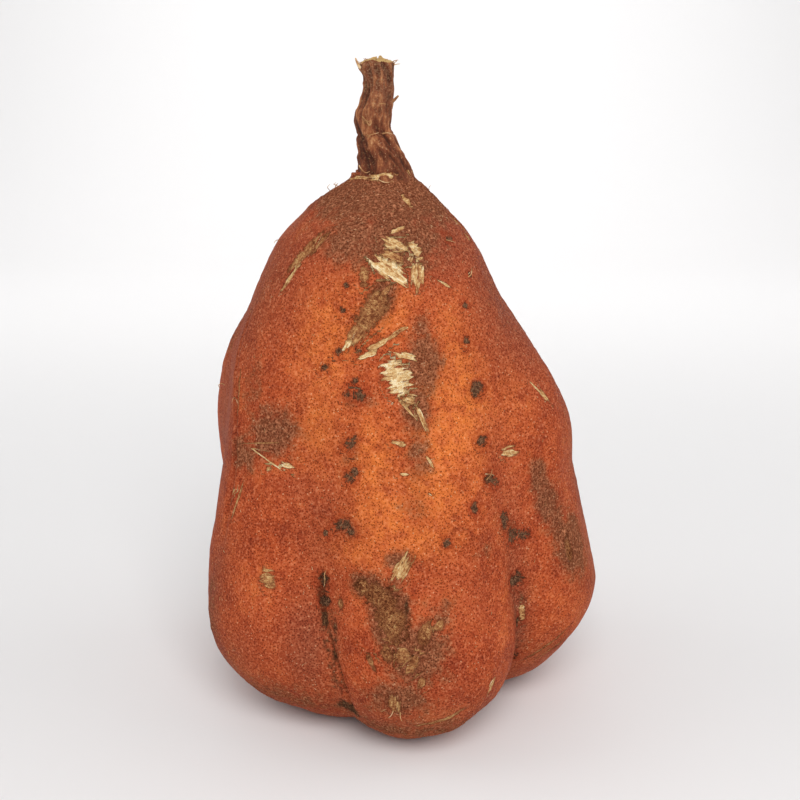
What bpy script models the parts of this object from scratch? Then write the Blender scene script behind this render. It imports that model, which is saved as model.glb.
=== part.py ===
"""Sweet potato: a stout storage root that has grown in rounded lobes, standing on its blunt
end, with the short woody stalk it hung from still on top.

Root and stalk grew as one piece, so they are one closed solid. Its form is a smooth union
of upright "fingers": round columns whose centre and radius change with height. Metres,
+Z up; the middle of the object's box stands on the origin and the lobes rest on z = 0.
"""
import bpy
import numpy as np

MM = 0.001

# Driving dimensions, in millimetres.
HEIGHT = 190.0          # floor to the cut end of the stalk
CORE_HEIGHT = 48.0      # height of the point the underside is measured from
MIDDLE = (1.3, -0.5)    # the middle of the box, moved onto the origin
COLUMNS = 76            # faces round the root
ROWS = 58               # faces from the underside to the cut end
REST_SPOT = 0.8         # how deep each lobe's foot is worn flat where it rests

# Each finger's stations: height, centre x, centre y, radius. The lowest station is the
# centre of its round foot and the highest the centre of its round top.
FINGERS = {
    # the heart of the root, narrowing through the neck into the stalk
    "core": [(42, 0, 0, 38), (84, -2, 0, 35), (118, -5, 0, 30.5), (132, -6.5, 0, 28.5),
             (141, -6.8, 0, 25.5), (148, -6.3, 0, 20), (153, -5.5, 0, 13),
             (157, -5.5, 0, 8.2), (165, -6.4, 0, 6.2), (174, -7.2, 0, 5.0),
             (184, -6.6, 0, 4.4), (194, -6.0, 0, 4.3)],
    # the lobe toward the front
    "front": [(28, 5, -30, 28), (50, 4, -25, 27.5), (80, 2, -18, 27), (112, -1, -11, 23),
              (132, -3, -8, 17), (150, -5, -3, 5)],
    # the broad lobe on the left and its heel beside the front lobe
    "left": [(30.5, -28, -13, 30), (46, -29, -11, 28), (60, -28, -10, 26.5),
             (84, -24, -8, 26), (97, -23, -6, 25), (118, -21, -4, 21.5),
             (134, -17.5, -2, 16.5), (150, -11, -1, 7)],
    "left_heel": [(28, -18, -18, 28), (45, -20, -14, 26), (70, -18, -8, 22)],
    # the lobe behind the left one, highest at its shoulder
    "back_left": [(27, -26, 22, 27), (60, -31, 21, 25.5), (84, -33, 18, 23.5),
                  (97, -34, 15, 21.5), (108, -31, 12, 20.5), (120, -23, 10, 18.5),
                  (136, -14, 6, 12), (150, -8, 3, 5)],
    # the lobe on the right and its heel
    "right": [(38, 33, -3, 27.5), (57, 29, -4, 26.5), (70, 26, -4, 26), (84, 25, -4, 25),
              (95, 22, -3, 24.5), (106, 15.5, -3, 23.5), (118, 9, -3, 21.5),
              (134, 1, -2, 17), (150, -3, 0, 5)],
    "right_heel": [(27.5, 29, 3, 27.5), (48, 27, 2, 26), (70, 20, 2, 20)],
    # two more lobes round the back
    "back_right": [(26, 24, 25, 26), (60, 24, 22, 25), (90, 18, 18, 23), (115, 8, 12, 19),
                   (134, 0, 7, 12), (150, -3, 3, 5)],
    "back": [(25, 0, 32, 25), (60, -3, 28, 24.5), (90, -4, 22, 23), (116, -5, 15, 20),
             (136, -5, 8, 13), (150, -5, 3, 5)],
}
# How softly the fingers run together at each height: tight creases at the foot, one
# smooth body at the shoulder, a crisp collar under the stalk.
SOFTNESS = [(0, 0.9), (25, 0.9), (40, 1.4), (55, 2.8), (75, 4.0), (140, 4.5), (157, 1.2),
            (190, 0.6)]
# The line the skin is measured outward from: height, x.
SPINE = [(0, 0), (60, 0), (105, -3), (150, -5.5), (158, -5.6), (173, -7.2), (190, -6.2)]


def smooth_between(at, stations, column):
    """The value of one column at heights `at`: a cubic through the stations that never
    overshoots, level at both ends."""
    table = np.array(stations, float)
    x, y = table[:, 0], table[:, column]
    gap = np.diff(x)
    rise = np.diff(y) / gap
    slope = np.zeros_like(y)
    both = rise[:-1] * rise[1:]
    slope[1:-1] = np.where(both > 0, 2 * both / (rise[:-1] + rise[1:] + 1e-12), 0.0)
    i = np.clip(np.searchsorted(x, at) - 1, 0, len(gap) - 1)
    t = (np.clip(at, x[0], x[-1]) - x[i]) / gap[i]
    return (y[i] * (1 + 2 * t) * (1 - t) ** 2 + slope[i] * gap[i] * t * (1 - t) ** 2
            + y[i + 1] * t * t * (3 - 2 * t) + slope[i + 1] * gap[i] * t * t * (t - 1))


def outside(points):
    """Distance outside the root, below zero inside it: the soft minimum
    m - k log(sum(exp(-(d - m) / k))) of the distances d to all the fingers."""
    x, y, z = points[:, 0], points[:, 1], points[:, 2]
    distances = []
    for stations in FINGERS.values():
        level = np.clip(z, stations[0][0], stations[-1][0])
        distances.append(np.sqrt((x - smooth_between(level, stations, 1)) ** 2
                                 + (y - smooth_between(level, stations, 2)) ** 2
                                 + (z - level) ** 2) - smooth_between(level, stations, 3))
    distances = np.stack(distances)
    nearest = distances.min(0)
    k = smooth_between(z, SOFTNESS, 1)
    return nearest - k * np.log(np.exp(-(distances - nearest) / k).sum(0))


def skin(v, theta):
    """Points where rays from the spine leave the root. For v from 0 to 1 the rays fan out
    of the core point, from straight down to level; for v from 1 to 2 they are level and
    start higher and higher on the spine."""
    dip = np.where(v < 1, (v - 1) * np.pi / 2, 0.0)[:, None] + 0 * theta
    start_z = np.where(v < 1, CORE_HEIGHT, CORE_HEIGHT + (v - 1) * (HEIGHT - CORE_HEIGHT))
    start_z = start_z[:, None] + 0 * theta
    start = np.stack([smooth_between(start_z, SPINE, 1), 0 * start_z, start_z], -1)
    start = start.reshape(-1, 3)
    ray = np.stack([np.cos(dip) * np.cos(theta), np.cos(dip) * np.sin(theta), np.sin(dip)],
                   -1).reshape(-1, 3)
    outer = np.full(len(ray), 85.0)
    for _ in range(40):     # walk inward to the first point inside the skin
        outer -= np.clip(0.8 * outside(start + ray * outer[:, None]), 0, None)
    inner, outer = outer - 1.5, outer + 0.5
    for _ in range(12):     # then close in on it
        half = (inner + outer) / 2
        is_inside = outside(start + ray * half[:, None]) < 0
        inner, outer = np.where(is_inside, half, inner), np.where(is_inside, outer, half)
    points = start + ray * outer[:, None]
    return points.reshape(len(v), len(theta), 3)


def even_rows(rows):
    """Values of v that space the rows evenly along the outline."""
    v = np.linspace(0, 2, 121)
    points = skin(v, np.linspace(0, 2 * np.pi, 12, endpoint=False))
    wide = np.hypot(points[..., 0] - smooth_between(points[..., 2], SPINE, 1),
                    points[..., 1]).mean(1)
    run = np.hypot(np.diff(wide), np.diff(points[..., 2].mean(1)))
    run = np.concatenate([[0], np.cumsum(run)])
    return np.interp(np.linspace(0, run[-1], rows), run, v)


for obj in list(bpy.data.objects):
    bpy.data.objects.remove(obj, do_unlink=True)

collections = {}
for name in ("sweet_potato", "cutters"):
    collections[name] = bpy.data.collections.new(name)
    bpy.context.scene.collection.children.link(collections[name])

# The root: a sphere whose rings and segments are laid on the skin.
bpy.ops.mesh.primitive_uv_sphere_add(segments=COLUMNS, ring_count=ROWS, radius=1)
root = bpy.context.object
root.name = root.data.name = "sweet_potato"
co = np.empty(len(root.data.vertices) * 3, np.float32)
root.data.vertices.foreach_get("co", co)
co = co.reshape(-1, 3).astype(float)
row = np.rint((np.arcsin(np.clip(co[:, 2], -1, 1)) / np.pi + 0.5) * ROWS).astype(int)
column = np.rint(np.arctan2(co[:, 1], co[:, 0]) / (2 * np.pi) * COLUMNS).astype(int) % COLUMNS
grid = skin(even_rows(ROWS), np.arange(COLUMNS) * 2 * np.pi / COLUMNS)
grid[0] = grid[0].mean(0)                       # the middle of the underside
cut_end = np.broadcast_to(grid[-1].mean(0), (1, COLUMNS, 3))
grid = np.concatenate([grid, cut_end])          # the middle of the stalk's cut end
placed = grid[row, column]
placed -= (MIDDLE[0], MIDDLE[1], 0)
root.data.vertices.foreach_set("co", (placed * MM).ravel())
root.data.update()

# The lobes' feet are flattened by the weight they stand on.
bpy.ops.mesh.primitive_cube_add(size=1)
floor = bpy.context.object
floor.name = "floor_cutter"
floor.scale = (0.2, 0.2, 0.02)
bpy.ops.object.transform_apply(location=False, rotation=False, scale=True)
for vertex in root.data.vertices:
    vertex.co.z -= REST_SPOT * MM * max(0.0, 1 - vertex.co.z / (40 * MM))
floor.location = (0, 0, -0.01)
floor.hide_render = True
floor.display_type = "WIRE"

for obj, home in ((root, "sweet_potato"), (floor, "cutters")):
    for old in list(obj.users_collection):
        old.objects.unlink(obj)
    collections[home].objects.link(obj)

cut = root.modifiers.new("rest_spots", "BOOLEAN")
cut.operation = "DIFFERENCE"
cut.solver = "EXACT"
cut.object = floor

skin_material = bpy.data.materials.new("sweet_potato_skin")
skin_material.use_nodes = True
shader = skin_material.node_tree.nodes["Principled BSDF"]
shader.inputs["Base Color"].default_value = (0.43, 0.125, 0.045, 1)
shader.inputs["Roughness"].default_value = 0.6
root.data.materials.clear()
root.data.materials.append(skin_material)
root.data.polygons.foreach_set("use_smooth", [True] * len(root.data.polygons))
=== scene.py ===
"""A whole sweet potato standing on its blunt end, on a pale sweep in soft studio light.
Shapes are worked out in millimetres and put into their meshes in metres."""

import bpy
import numpy as np
from mathutils import Matrix, Vector


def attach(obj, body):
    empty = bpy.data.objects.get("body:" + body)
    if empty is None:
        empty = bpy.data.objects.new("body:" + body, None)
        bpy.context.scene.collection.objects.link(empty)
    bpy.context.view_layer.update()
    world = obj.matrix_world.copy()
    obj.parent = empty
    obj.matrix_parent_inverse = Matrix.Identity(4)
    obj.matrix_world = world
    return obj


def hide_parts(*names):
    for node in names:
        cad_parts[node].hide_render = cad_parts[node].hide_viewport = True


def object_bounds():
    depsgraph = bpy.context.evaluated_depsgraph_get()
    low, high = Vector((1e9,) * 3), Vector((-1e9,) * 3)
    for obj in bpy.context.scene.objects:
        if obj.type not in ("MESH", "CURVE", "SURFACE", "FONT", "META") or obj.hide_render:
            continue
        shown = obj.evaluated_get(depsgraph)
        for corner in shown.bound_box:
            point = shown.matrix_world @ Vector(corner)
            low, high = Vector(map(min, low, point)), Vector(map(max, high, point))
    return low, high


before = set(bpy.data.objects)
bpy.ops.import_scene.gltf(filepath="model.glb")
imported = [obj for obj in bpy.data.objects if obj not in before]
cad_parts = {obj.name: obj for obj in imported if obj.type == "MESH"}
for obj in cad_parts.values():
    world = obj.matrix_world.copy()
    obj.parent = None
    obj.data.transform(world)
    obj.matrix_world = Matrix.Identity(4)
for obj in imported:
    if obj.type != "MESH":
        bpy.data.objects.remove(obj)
cad_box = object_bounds()
HEIGHT = cad_box[1][2] * 1000.0     # floor to the cut end of the stalk, mm


# ------------------------------
# The root's form. A storage root that swelled in rounded lobes: upright fingers, each a
# round column whose centre and radius change with height, run softly together. The lobes
# meet in tight creases at the foot and merge into one smooth shoulder.
# ------------------------------
CORE_HEIGHT = 48.0      # height of the point that the underside is measured from
COLLAR_HEIGHT = 158.6   # where the skin ends, against the stalk
MIDDLE = (1.3, -0.5)    # the middle of the box, moved onto the origin
REST_SPOT = 0.8         # how deep each lobe's foot is worn flat where it rests
SKIN_ROWS = 244
SKIN_COLUMNS = 396

# Each finger's stations: height, centre x, centre y, radius.
FINGERS = {
    "core": [(42, 0, 0, 38), (84, -2, 0, 35), (118, -5, 0, 30.5), (132, -6.5, 0, 28.5),
             (141, -6.8, 0, 25.5), (148, -6.3, 0, 20), (153, -5.5, 0, 13),
             (157, -5.5, 0, 8.2), (165, -6.4, 0, 6.2), (174, -7.2, 0, 5.0),
             (184, -6.6, 0, 4.4), (194, -6.0, 0, 4.3)],
    "front": [(28, 5, -30, 28), (50, 4, -25, 27.5), (80, 2, -18, 27), (112, -1, -11, 23),
              (132, -3, -8, 17), (150, -5, -3, 5)],
    "left": [(30.5, -28, -13, 30), (46, -29, -11, 28), (60, -28, -10, 26.5),
             (84, -24, -8, 26), (97, -23, -6, 25), (118, -21, -4, 21.5),
             (134, -17.5, -2, 16.5), (150, -11, -1, 7)],
    "left_heel": [(28, -18, -18, 28), (45, -20, -14, 26), (70, -18, -8, 22)],
    "back_left": [(27, -26, 22, 27), (60, -31, 21, 25.5), (84, -33, 18, 23.5),
                  (97, -34, 15, 21.5), (108, -31, 12, 20.5), (120, -23, 10, 18.5),
                  (136, -14, 6, 12), (150, -8, 3, 5)],
    "right": [(38, 33, -3, 27.5), (57, 29, -4, 26.5), (70, 26, -4, 26), (84, 25, -4, 25),
              (95, 22, -3, 24.5), (106, 15.5, -3, 23.5), (118, 9, -3, 21.5),
              (134, 1, -2, 17), (150, -3, 0, 5)],
    "right_heel": [(27.5, 29, 3, 27.5), (48, 27, 2, 26), (70, 20, 2, 20)],
    "back_right": [(26, 24, 25, 26), (60, 24, 22, 25), (90, 18, 18, 23), (115, 8, 12, 19),
                   (134, 0, 7, 12), (150, -3, 3, 5)],
    "back": [(25, 0, 32, 25), (60, -3, 28, 24.5), (90, -4, 22, 23), (116, -5, 15, 20),
             (136, -5, 8, 13), (150, -5, 3, 5)],
}
# How softly the fingers run together at each height, and the line the skin is measured
# outward from: height, x.
SOFTNESS = [(0, 0.9), (25, 0.9), (40, 1.4), (55, 2.8), (75, 4.0), (140, 4.5), (157, 1.2),
            (190, 0.6)]
SPINE = [(0, 0), (60, 0), (105, -3), (150, -5.5), (158, -5.6), (173, -7.2), (190, -6.2)]


def smooth_between(at, stations, column):
    """The value of one column at `at`: a cubic through the stations that never overshoots,
    level at both ends."""
    table = np.array(stations, float)
    x, y = table[:, 0], table[:, column]
    gap = np.diff(x)
    rise = np.diff(y) / gap
    slope = np.zeros_like(y)
    both = rise[:-1] * rise[1:]
    slope[1:-1] = np.where(both > 0, 2 * both / (rise[:-1] + rise[1:] + 1e-12), 0.0)
    i = np.clip(np.searchsorted(x, at) - 1, 0, len(gap) - 1)
    t = (np.clip(at, x[0], x[-1]) - x[i]) / gap[i]
    return (y[i] * (1 + 2 * t) * (1 - t) ** 2 + slope[i] * gap[i] * t * (1 - t) ** 2
            + y[i + 1] * t * t * (3 - 2 * t) + slope[i + 1] * gap[i] * t * t * (t - 1))


def outside(points):
    """Distance outside the root, below zero inside it: the soft minimum
    m - k log(sum(exp(-(d - m) / k))) of the distances d to all the fingers."""
    x, y, z = points[:, 0], points[:, 1], points[:, 2]
    distances = []
    for stations in FINGERS.values():
        level = np.clip(z, stations[0][0], stations[-1][0])
        distances.append(np.sqrt((x - smooth_between(level, stations, 1)) ** 2
                                 + (y - smooth_between(level, stations, 2)) ** 2
                                 + (z - level) ** 2) - smooth_between(level, stations, 3))
    distances = np.stack(distances)
    nearest = distances.min(0)
    k = smooth_between(z, SOFTNESS, 1)
    return nearest - k * np.log(np.exp(-(distances - nearest) / k).sum(0))


def bare_skin(v, bearing):
    """Points where rays from the spine leave the root. For v from 0 to 1 the rays fan out
    of the core point, from straight down to level; for v from 1 to 2 they are level and
    start higher and higher on the spine. Bearing 0 faces the front lobe, and grows toward
    +X. Each ray is walked inward to the skin, then closed in on by halving."""
    dip = np.where(v < 1, (v - 1) * np.pi / 2, 0.0)[:, None] + 0 * bearing
    start_z = np.where(v < 1, CORE_HEIGHT, CORE_HEIGHT + (v - 1) * (HEIGHT - CORE_HEIGHT))
    start_z = start_z[:, None] + 0 * bearing
    start = np.stack([smooth_between(start_z, SPINE, 1), 0 * start_z, start_z], -1)
    start = start.reshape(-1, 3)
    ray = np.stack([np.cos(dip) * np.sin(bearing), -np.cos(dip) * np.cos(bearing),
                    np.sin(dip)], -1).reshape(-1, 3)
    reach = np.full(len(ray), 85.0)
    walking = np.arange(len(ray))
    while len(walking):
        gap = outside(start[walking] + ray[walking] * reach[walking, None])
        walking, gap = walking[gap > 0], gap[gap > 0]
        reach[walking] -= np.maximum(0.8 * gap, 0.4)
    inner, outer = reach, reach + 1.5
    for _ in range(9):
        half = (inner + outer) / 2
        is_inside = outside(start + ray * half[:, None]) < 0
        inner, outer = np.where(is_inside, half, inner), np.where(is_inside, outer, half)
    return (start + ray * outer[:, None]).reshape(len(v), len(bearing), 3)


# Rows evenly spaced along the outline, and columns closer together toward the front.
v_line = np.linspace(0, 1 + (COLLAR_HEIGHT - CORE_HEIGHT) / (HEIGHT - CORE_HEIGHT), 121)
outline = bare_skin(v_line, np.linspace(0, 2 * np.pi, 12, endpoint=False))
outline_wide = np.hypot(outline[..., 0] - smooth_between(outline[..., 2], SPINE, 1),
                        outline[..., 1]).mean(1)
run = np.hypot(np.diff(outline_wide), np.diff(outline[..., 2].mean(1)))
run = np.concatenate([[0], np.cumsum(run)])
v_rows = np.interp(np.linspace(0, run[-1], SKIN_ROWS), run, v_line)
turn = np.linspace(-np.pi, np.pi, SKIN_COLUMNS, endpoint=False)
bearings = turn - 0.3 * np.sin(turn)
skin_mm = bare_skin(v_rows, bearings)

# Each meridian is eased over 3 mm below the neck, so no finger's end shows as a ridge: from
# not at all above EASED_BELOW + 12 mm to fully under EASED_BELOW.
EASE, EASED_BELOW = 3.0, 138
row_gap = run[-1] / (SKIN_ROWS - 1)
reach_rows = int(3 * EASE / row_gap)
offsets = np.arange(-reach_rows, reach_rows + 1)
weights = np.exp(-(offsets * row_gap) ** 2 / (2 * EASE ** 2))
weights /= weights.sum()
ends = np.concatenate([np.repeat(skin_mm[:1], reach_rows, 0), skin_mm,
                       np.repeat(skin_mm[-1:], reach_rows, 0)])
eased = sum(w * ends[i:i + SKIN_ROWS] for i, w in enumerate(weights))
keep = np.clip((skin_mm[..., 2:] - EASED_BELOW) / 12, 0, 1)
keep = keep * keep * (3 - 2 * keep)
skin_mm = eased + (skin_mm - eased) * keep
skin_mm -= (MIDDLE[0], MIDDLE[1], 0)
skin_mm[..., 2] -= REST_SPOT * np.clip(1 - skin_mm[..., 2] / 40, 0, 1)


def outward(grid):
    """Unit normals of a grid of points that closes on itself along its columns: the cross
    product of the step round and the step up."""
    round_step = np.roll(grid, -1, 1) - np.roll(grid, 1, 1)
    up_step = np.gradient(grid, axis=0)
    normal = np.cross(round_step, up_step)
    return normal / (np.linalg.norm(normal, axis=-1, keepdims=True) + 1e-9)


def waves(points, size, seed, count=26):
    """Smooth random numbers, mostly from -1 to 1, that change over about `size` mm: the sum
    of plane sine waves with random directions, lengths and phases."""
    rng = np.random.default_rng(seed)
    way = rng.normal(size=(count, 3))
    way *= (2 * np.pi / size * rng.uniform(0.6, 1.5, (count, 1))
            / np.linalg.norm(way, axis=1, keepdims=True))
    phase = rng.uniform(0, 2 * np.pi, count)
    return np.sin(points @ way.T + phase).sum(-1) * np.sqrt(1.0 / count)


skin_out = outward(skin_mm)
plain_skin_mm = skin_mm.copy()


# ------------------------------
# Marks in the skin. Digging, rubbing and washing tear the thin skin and show paler flesh;
# pits are left where side roots broke off, in columns up the root. Each mark is a place
# on the skin with its own direction, and every skin point knows where it lies in it.
# ------------------------------
# Torn places: bearing, height, half length along the fibres, half width, turn of the
# fibres (degrees above level), pallor from 0, brown, to 1, cream.
SCRAPES = [
    (-5.5, 141.0, 3.6, 1.5, -30, 0.85), (-7.0, 138.2, 3.4, 1.0, -24, 0.6),   # under the neck
    (-8, 135.2, 5.6, 2.7, -36, 1.0), (6.8, 139.4, 1.5, 3.0, 14, 0.85),
    (6.4, 133.2, 3.4, 1.6, 76, 0.8), (2.6, 137.4, 1.2, 0.7, 60, 0.8),
    (3, 151.5, 0.7, 2.4, 8, 0.75), (-6, 144.6, 2.2, 0.6, 28, 0.75),
    (-66, 157.8, 3.5, 0.9, 4, 0.7), (-42, 158.0, 4.2, 1.1, 0, 0.85),     # the torn collar
    (-12, 157.9, 3.4, 1.0, -4, 0.8), (40, 157.6, 2.6, 0.9, -10, 0.65),
    (-130, 158, 4.0, 0.8, 0, 0.6), (140, 158, 3.0, 0.8, 0, 0.6),
    (-54.5, 138, 9.2, 1.4, 56, 0.5), (-57, 133, 5.0, 0.7, 58, 0.8),      # left shoulder
    (-48, 141, 4.0, 0.9, 60, 0.4), (-20.5, 133.2, 1.3, 2.6, 8, 0.5),
    (-14, 125, 8.6, 3.0, 62, 0.42), (-22, 117.6, 4.6, 2.0, 60, 0.55),    # long brown scrape
    (-24.5, 115.2, 2.6, 0.9, 66, 0.85), (-9.5, 129.5, 2.6, 0.8, 50, 0.5),
    (-10, 116.5, 6.0, 0.8, 33, 0.75), (-16, 113.2, 2.6, 0.6, 20, 0.85),
    (-2.8, 107.0, 3.1, 6.0, 12, 1.0), (1.6, 101.2, 1.7, 1.7, -20, 0.85),  # big cream patch
    (0.3, 113.2, 3.2, 0.8, -18, 0.95), (1.8, 99.2, 4.6, 0.35, -50, 0.8),
    (6.2, 97.6, 4.0, 0.6, -72, 0.75),
    (76, 144.5, 3.2, 1.0, -58, 0.5), (70, 140.5, 1.6, 0.8, -60, 0.6),
    (22.5, 131.2, 2.1, 0.6, -38, 0.95),
    (66.5, 97.5, 3.4, 0.9, -58, 0.8), (64.5, 98.6, 2.4, 0.4, -56, 0.9),
    (45, 84.7, 2.3, 1.2, -4, 0.85),
    (-1.5, 90.8, 1.9, 0.6, -12, 0.85), (8.6, 86.5, 1.8, 0.4, -62, 0.8),
    (0.3, 83, 1.1, 0.4, -5, 0.95), (8.6, 77.4, 1.2, 0.4, -40, 1.0),
    (-52, 82.6, 9.5, 0.22, -20, 0.85), (-44.2, 81.4, 1.9, 0.7, -8, 1.0),
    (-57, 86.4, 7.0, 0.18, 12, 0.6), (-50.2, 79.8, 1.0, 0.7, 0, 0.7),
    (-61, 68.5, 5.2, 0.35, 76, 0.65), (-63.5, 70.6, 2.0, 0.4, 62, 0.8),
    (-67.5, 95, 9.0, 0.22, 99, 0.5), (-64.6, 74, 8.0, 0.22, 92, 0.45),
    (-46, 49.4, 1.9, 2.7, 12, 0.6), (-44.6, 47.6, 1.6, 1.3, 0, 0.55),
    (-21.7, 45.8, 1.3, 1.6, 20, 0.42), (65, 51.6, 1.3, 4.0, 4, 0.4),
    (-1, 58.2, 4.2, 1.8, 62, 0.78), (-13, 51.8, 2.4, 2.4, -10, 0.36),    # crust low in front
    (-8, 50.0, 4.4, 3.3, -40, 0.34), (-4.0, 43.8, 6.4, 4.0, -78, 0.36),
    (-0.6, 36.4, 2.2, 2.2, 10, 0.5), (5.8, 41.4, 3.4, 1.6, 72, 0.46),
    (2.2, 33.2, 2.9, 1.3, 60, 0.5), (-9.6, 32.5, 2.1, 0.8, -60, 0.45),
    (-3.0, 21.2, 2.8, 1.5, 82, 0.6), (11, 15.9, 6.2, 0.7, 22, 0.55),
    (26.5, 23.3, 1.9, 0.5, 62, 0.9), (9.5, 43.5, 1.8, 1.2, 50, 0.5),
    (-5.5, 36.5, 2.6, 1.5, -70, 0.40), (4.6, 28.6, 1.7, 0.9, 76, 0.55),
    (48, 36.5, 0.8, 2.4, 6, 0.7), (62, 23, 7.5, 0.5, 40, 0.45), (66, 20, 5.0, 0.4, 42, 0.5),
    (-80, 33, 2.2, 0.5, 82, 0.8), (-78, 45, 6.0, 0.4, 84, 0.4),
    # round the back, where the next roots rubbed it
    (150, 112, 5.0, 2.4, 40, 0.7), (-158, 128, 4.0, 1.5, -52, 0.6),
    (178, 92, 3.6, 5.4, -8, 0.9), (128, 74, 7.0, 1.0, 52, 0.5),
    (-140, 66, 5.0, 0.3, 30, 0.8), (-118, 96, 2.4, 1.1, 20, 0.7),
    (105, 118, 3.0, 0.9, -48, 0.6), (-172, 52, 2.4, 3.4, 14, 0.45),
    (152, 34, 4.2, 2.0, -30, 0.4), (100, 40, 6.0, 0.4, 60, 0.5),
]
# Where side roots broke off: bearing, height, radius.
ROOT_SCARS = [
    (-28.3, 131.2, 0.9), (-28.6, 124.4, 0.8), (-28, 113.6, 1.2), (-20, 113.8, 1.0),
    (-33, 108.9, 1.2), (-20.2, 106.8, 0.9), (-17.3, 102.6, 1.3), (-23.6, 101.9, 1.1),
    (-20.6, 89.2, 1.7), (-18.4, 91, 1.1), (-19.8, 81.4, 1.4), (-17.9, 82.4, 1.0),
    (-20.4, 68.2, 2.0), (-23.4, 66.6, 1.3), (-18.2, 66.4, 1.4), (-28.6, 64.2, 1.0),
    (40, 141.6, 1.2), (33.4, 124.3, 0.8), (31.2, 115.2, 1.1), (31.8, 102.5, 2.1),
    (31.4, 88.9, 1.8), (33.5, 78.5, 2.3), (24.8, 72.6, 1.1), (38.6, 66.6, 1.4),
    (39.6, 64, 1.6), (43.6, 60.6, 1.9), (48.2, 59.6, 1.6), (45.3, 46, 2.4),
    (46.4, 33, 1.5), (52, 20, 2.0), (13.2, 64.4, 1.1), (44.4, 132.2, 0.7),
    (-29.2, 50.2, 1.9), (-27.6, 44.6, 1.7),
    # the other columns, round the back
    (118, 120, 1.2), (121, 104, 1.8), (119, 90, 1.4), (123, 71, 2.2), (120, 52, 1.6),
    (121, 34, 2.0), (176, 132, 1.0), (172, 110, 1.7), (175, 84, 1.4), (171, 62, 2.0),
    (174, 40, 1.6), (-128, 126, 1.3), (-124, 108, 1.9), (-126, 85, 1.5), (-122, 58, 2.1),
    (-125, 36, 1.7), (-88, 30, 1.2), (88, 96, 1.3), (90, 66, 1.6),
]

skin_bearing = np.degrees(np.arctan2(plain_skin_mm[..., 0], -plain_skin_mm[..., 1]))
skin_reach = np.hypot(plain_skin_mm[..., 0], plain_skin_mm[..., 1])
skin_height = plain_skin_mm[..., 2]


def beside(bearing):
    """How far each skin point lies to the right of a bearing in degrees, in mm: the
    difference in radians times the point's distance from the middle."""
    return np.radians((skin_bearing - bearing + 180) % 360 - 180) * skin_reach


def on_skin(bearing, height):
    """The skin's point at a bearing in degrees and a height in mm, with the unit steps to
    the right, up along the skin, and out of it, as seen by someone facing the skin there:
    the grid point that is nearest, its normal, and two cross products."""
    miss = np.hypot(beside(bearing), skin_height - height)
    spot = np.unravel_index(miss.argmin(), miss.shape)
    out = skin_out[spot]
    right = np.cross((0, 0, 1), out)
    right /= np.linalg.norm(right)
    return plain_skin_mm[spot], right, np.cross(out, right), out


def nearest_mark(marks, margin=2.2):
    """For every skin point, its place in the nearest mark: along and across it counted in
    half lengths and half widths, then along and across it in mm, and the mark's number.
    A point further than `margin` mm from every mark is given the place (9, 9)."""
    shape = skin_height.shape
    closest = np.full(shape, 1.0)
    share = np.full(shape + (2,), 9.0)
    length = np.zeros(shape + (2,))
    number = np.zeros(shape, int)
    for i, (bearing, height, half_long, half_wide, tilt) in enumerate(marks):
        centre, right, up, out = on_skin(bearing, height)
        away = plain_skin_mm - centre
        c, s = np.cos(np.radians(tilt)), np.sin(np.radians(tilt))
        along = away @ (c * right + s * up)
        across = away @ (c * up - s * right)
        far = np.hypot(along / (half_long + margin), across / (half_wide + margin))
        here = (far < closest) & (np.abs(away @ out) < 12)
        closest[here] = far[here]
        share[here] = np.stack([along / half_long, across / half_wide], -1)[here]
        length[here] = np.stack([along, across], -1)[here]
        number[here] = i
    return share, length, number


scrape_share, scrape_mm, scrape_number = nearest_mark([m[:5] for m in SCRAPES])
scrape_pallor = np.array([m[5] for m in SCRAPES])[scrape_number]
scar_share, _, scar_number = nearest_mark([(b, h, r, r, 0) for b, h, r in ROOT_SCARS])
scar_radius = np.array([r for _, _, r in ROOT_SCARS])[scar_number]
scrape_far = np.hypot(scrape_share[..., 0], scrape_share[..., 1])
scar_far = np.hypot(scar_share[..., 0], scar_share[..., 1])


def patches(spots):
    """How strongly each skin point is inside soft oval patches, from 0 to 1: the largest of
    strength * exp(-(sideways / width)^2 - (upward / rise)^2), distances in mm."""
    return np.max([strength * np.exp(-(beside(bearing) / width) ** 2
                                     - ((skin_height - height) / rise) ** 2)
                   for bearing, height, width, rise, strength in spots], axis=0)


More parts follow.
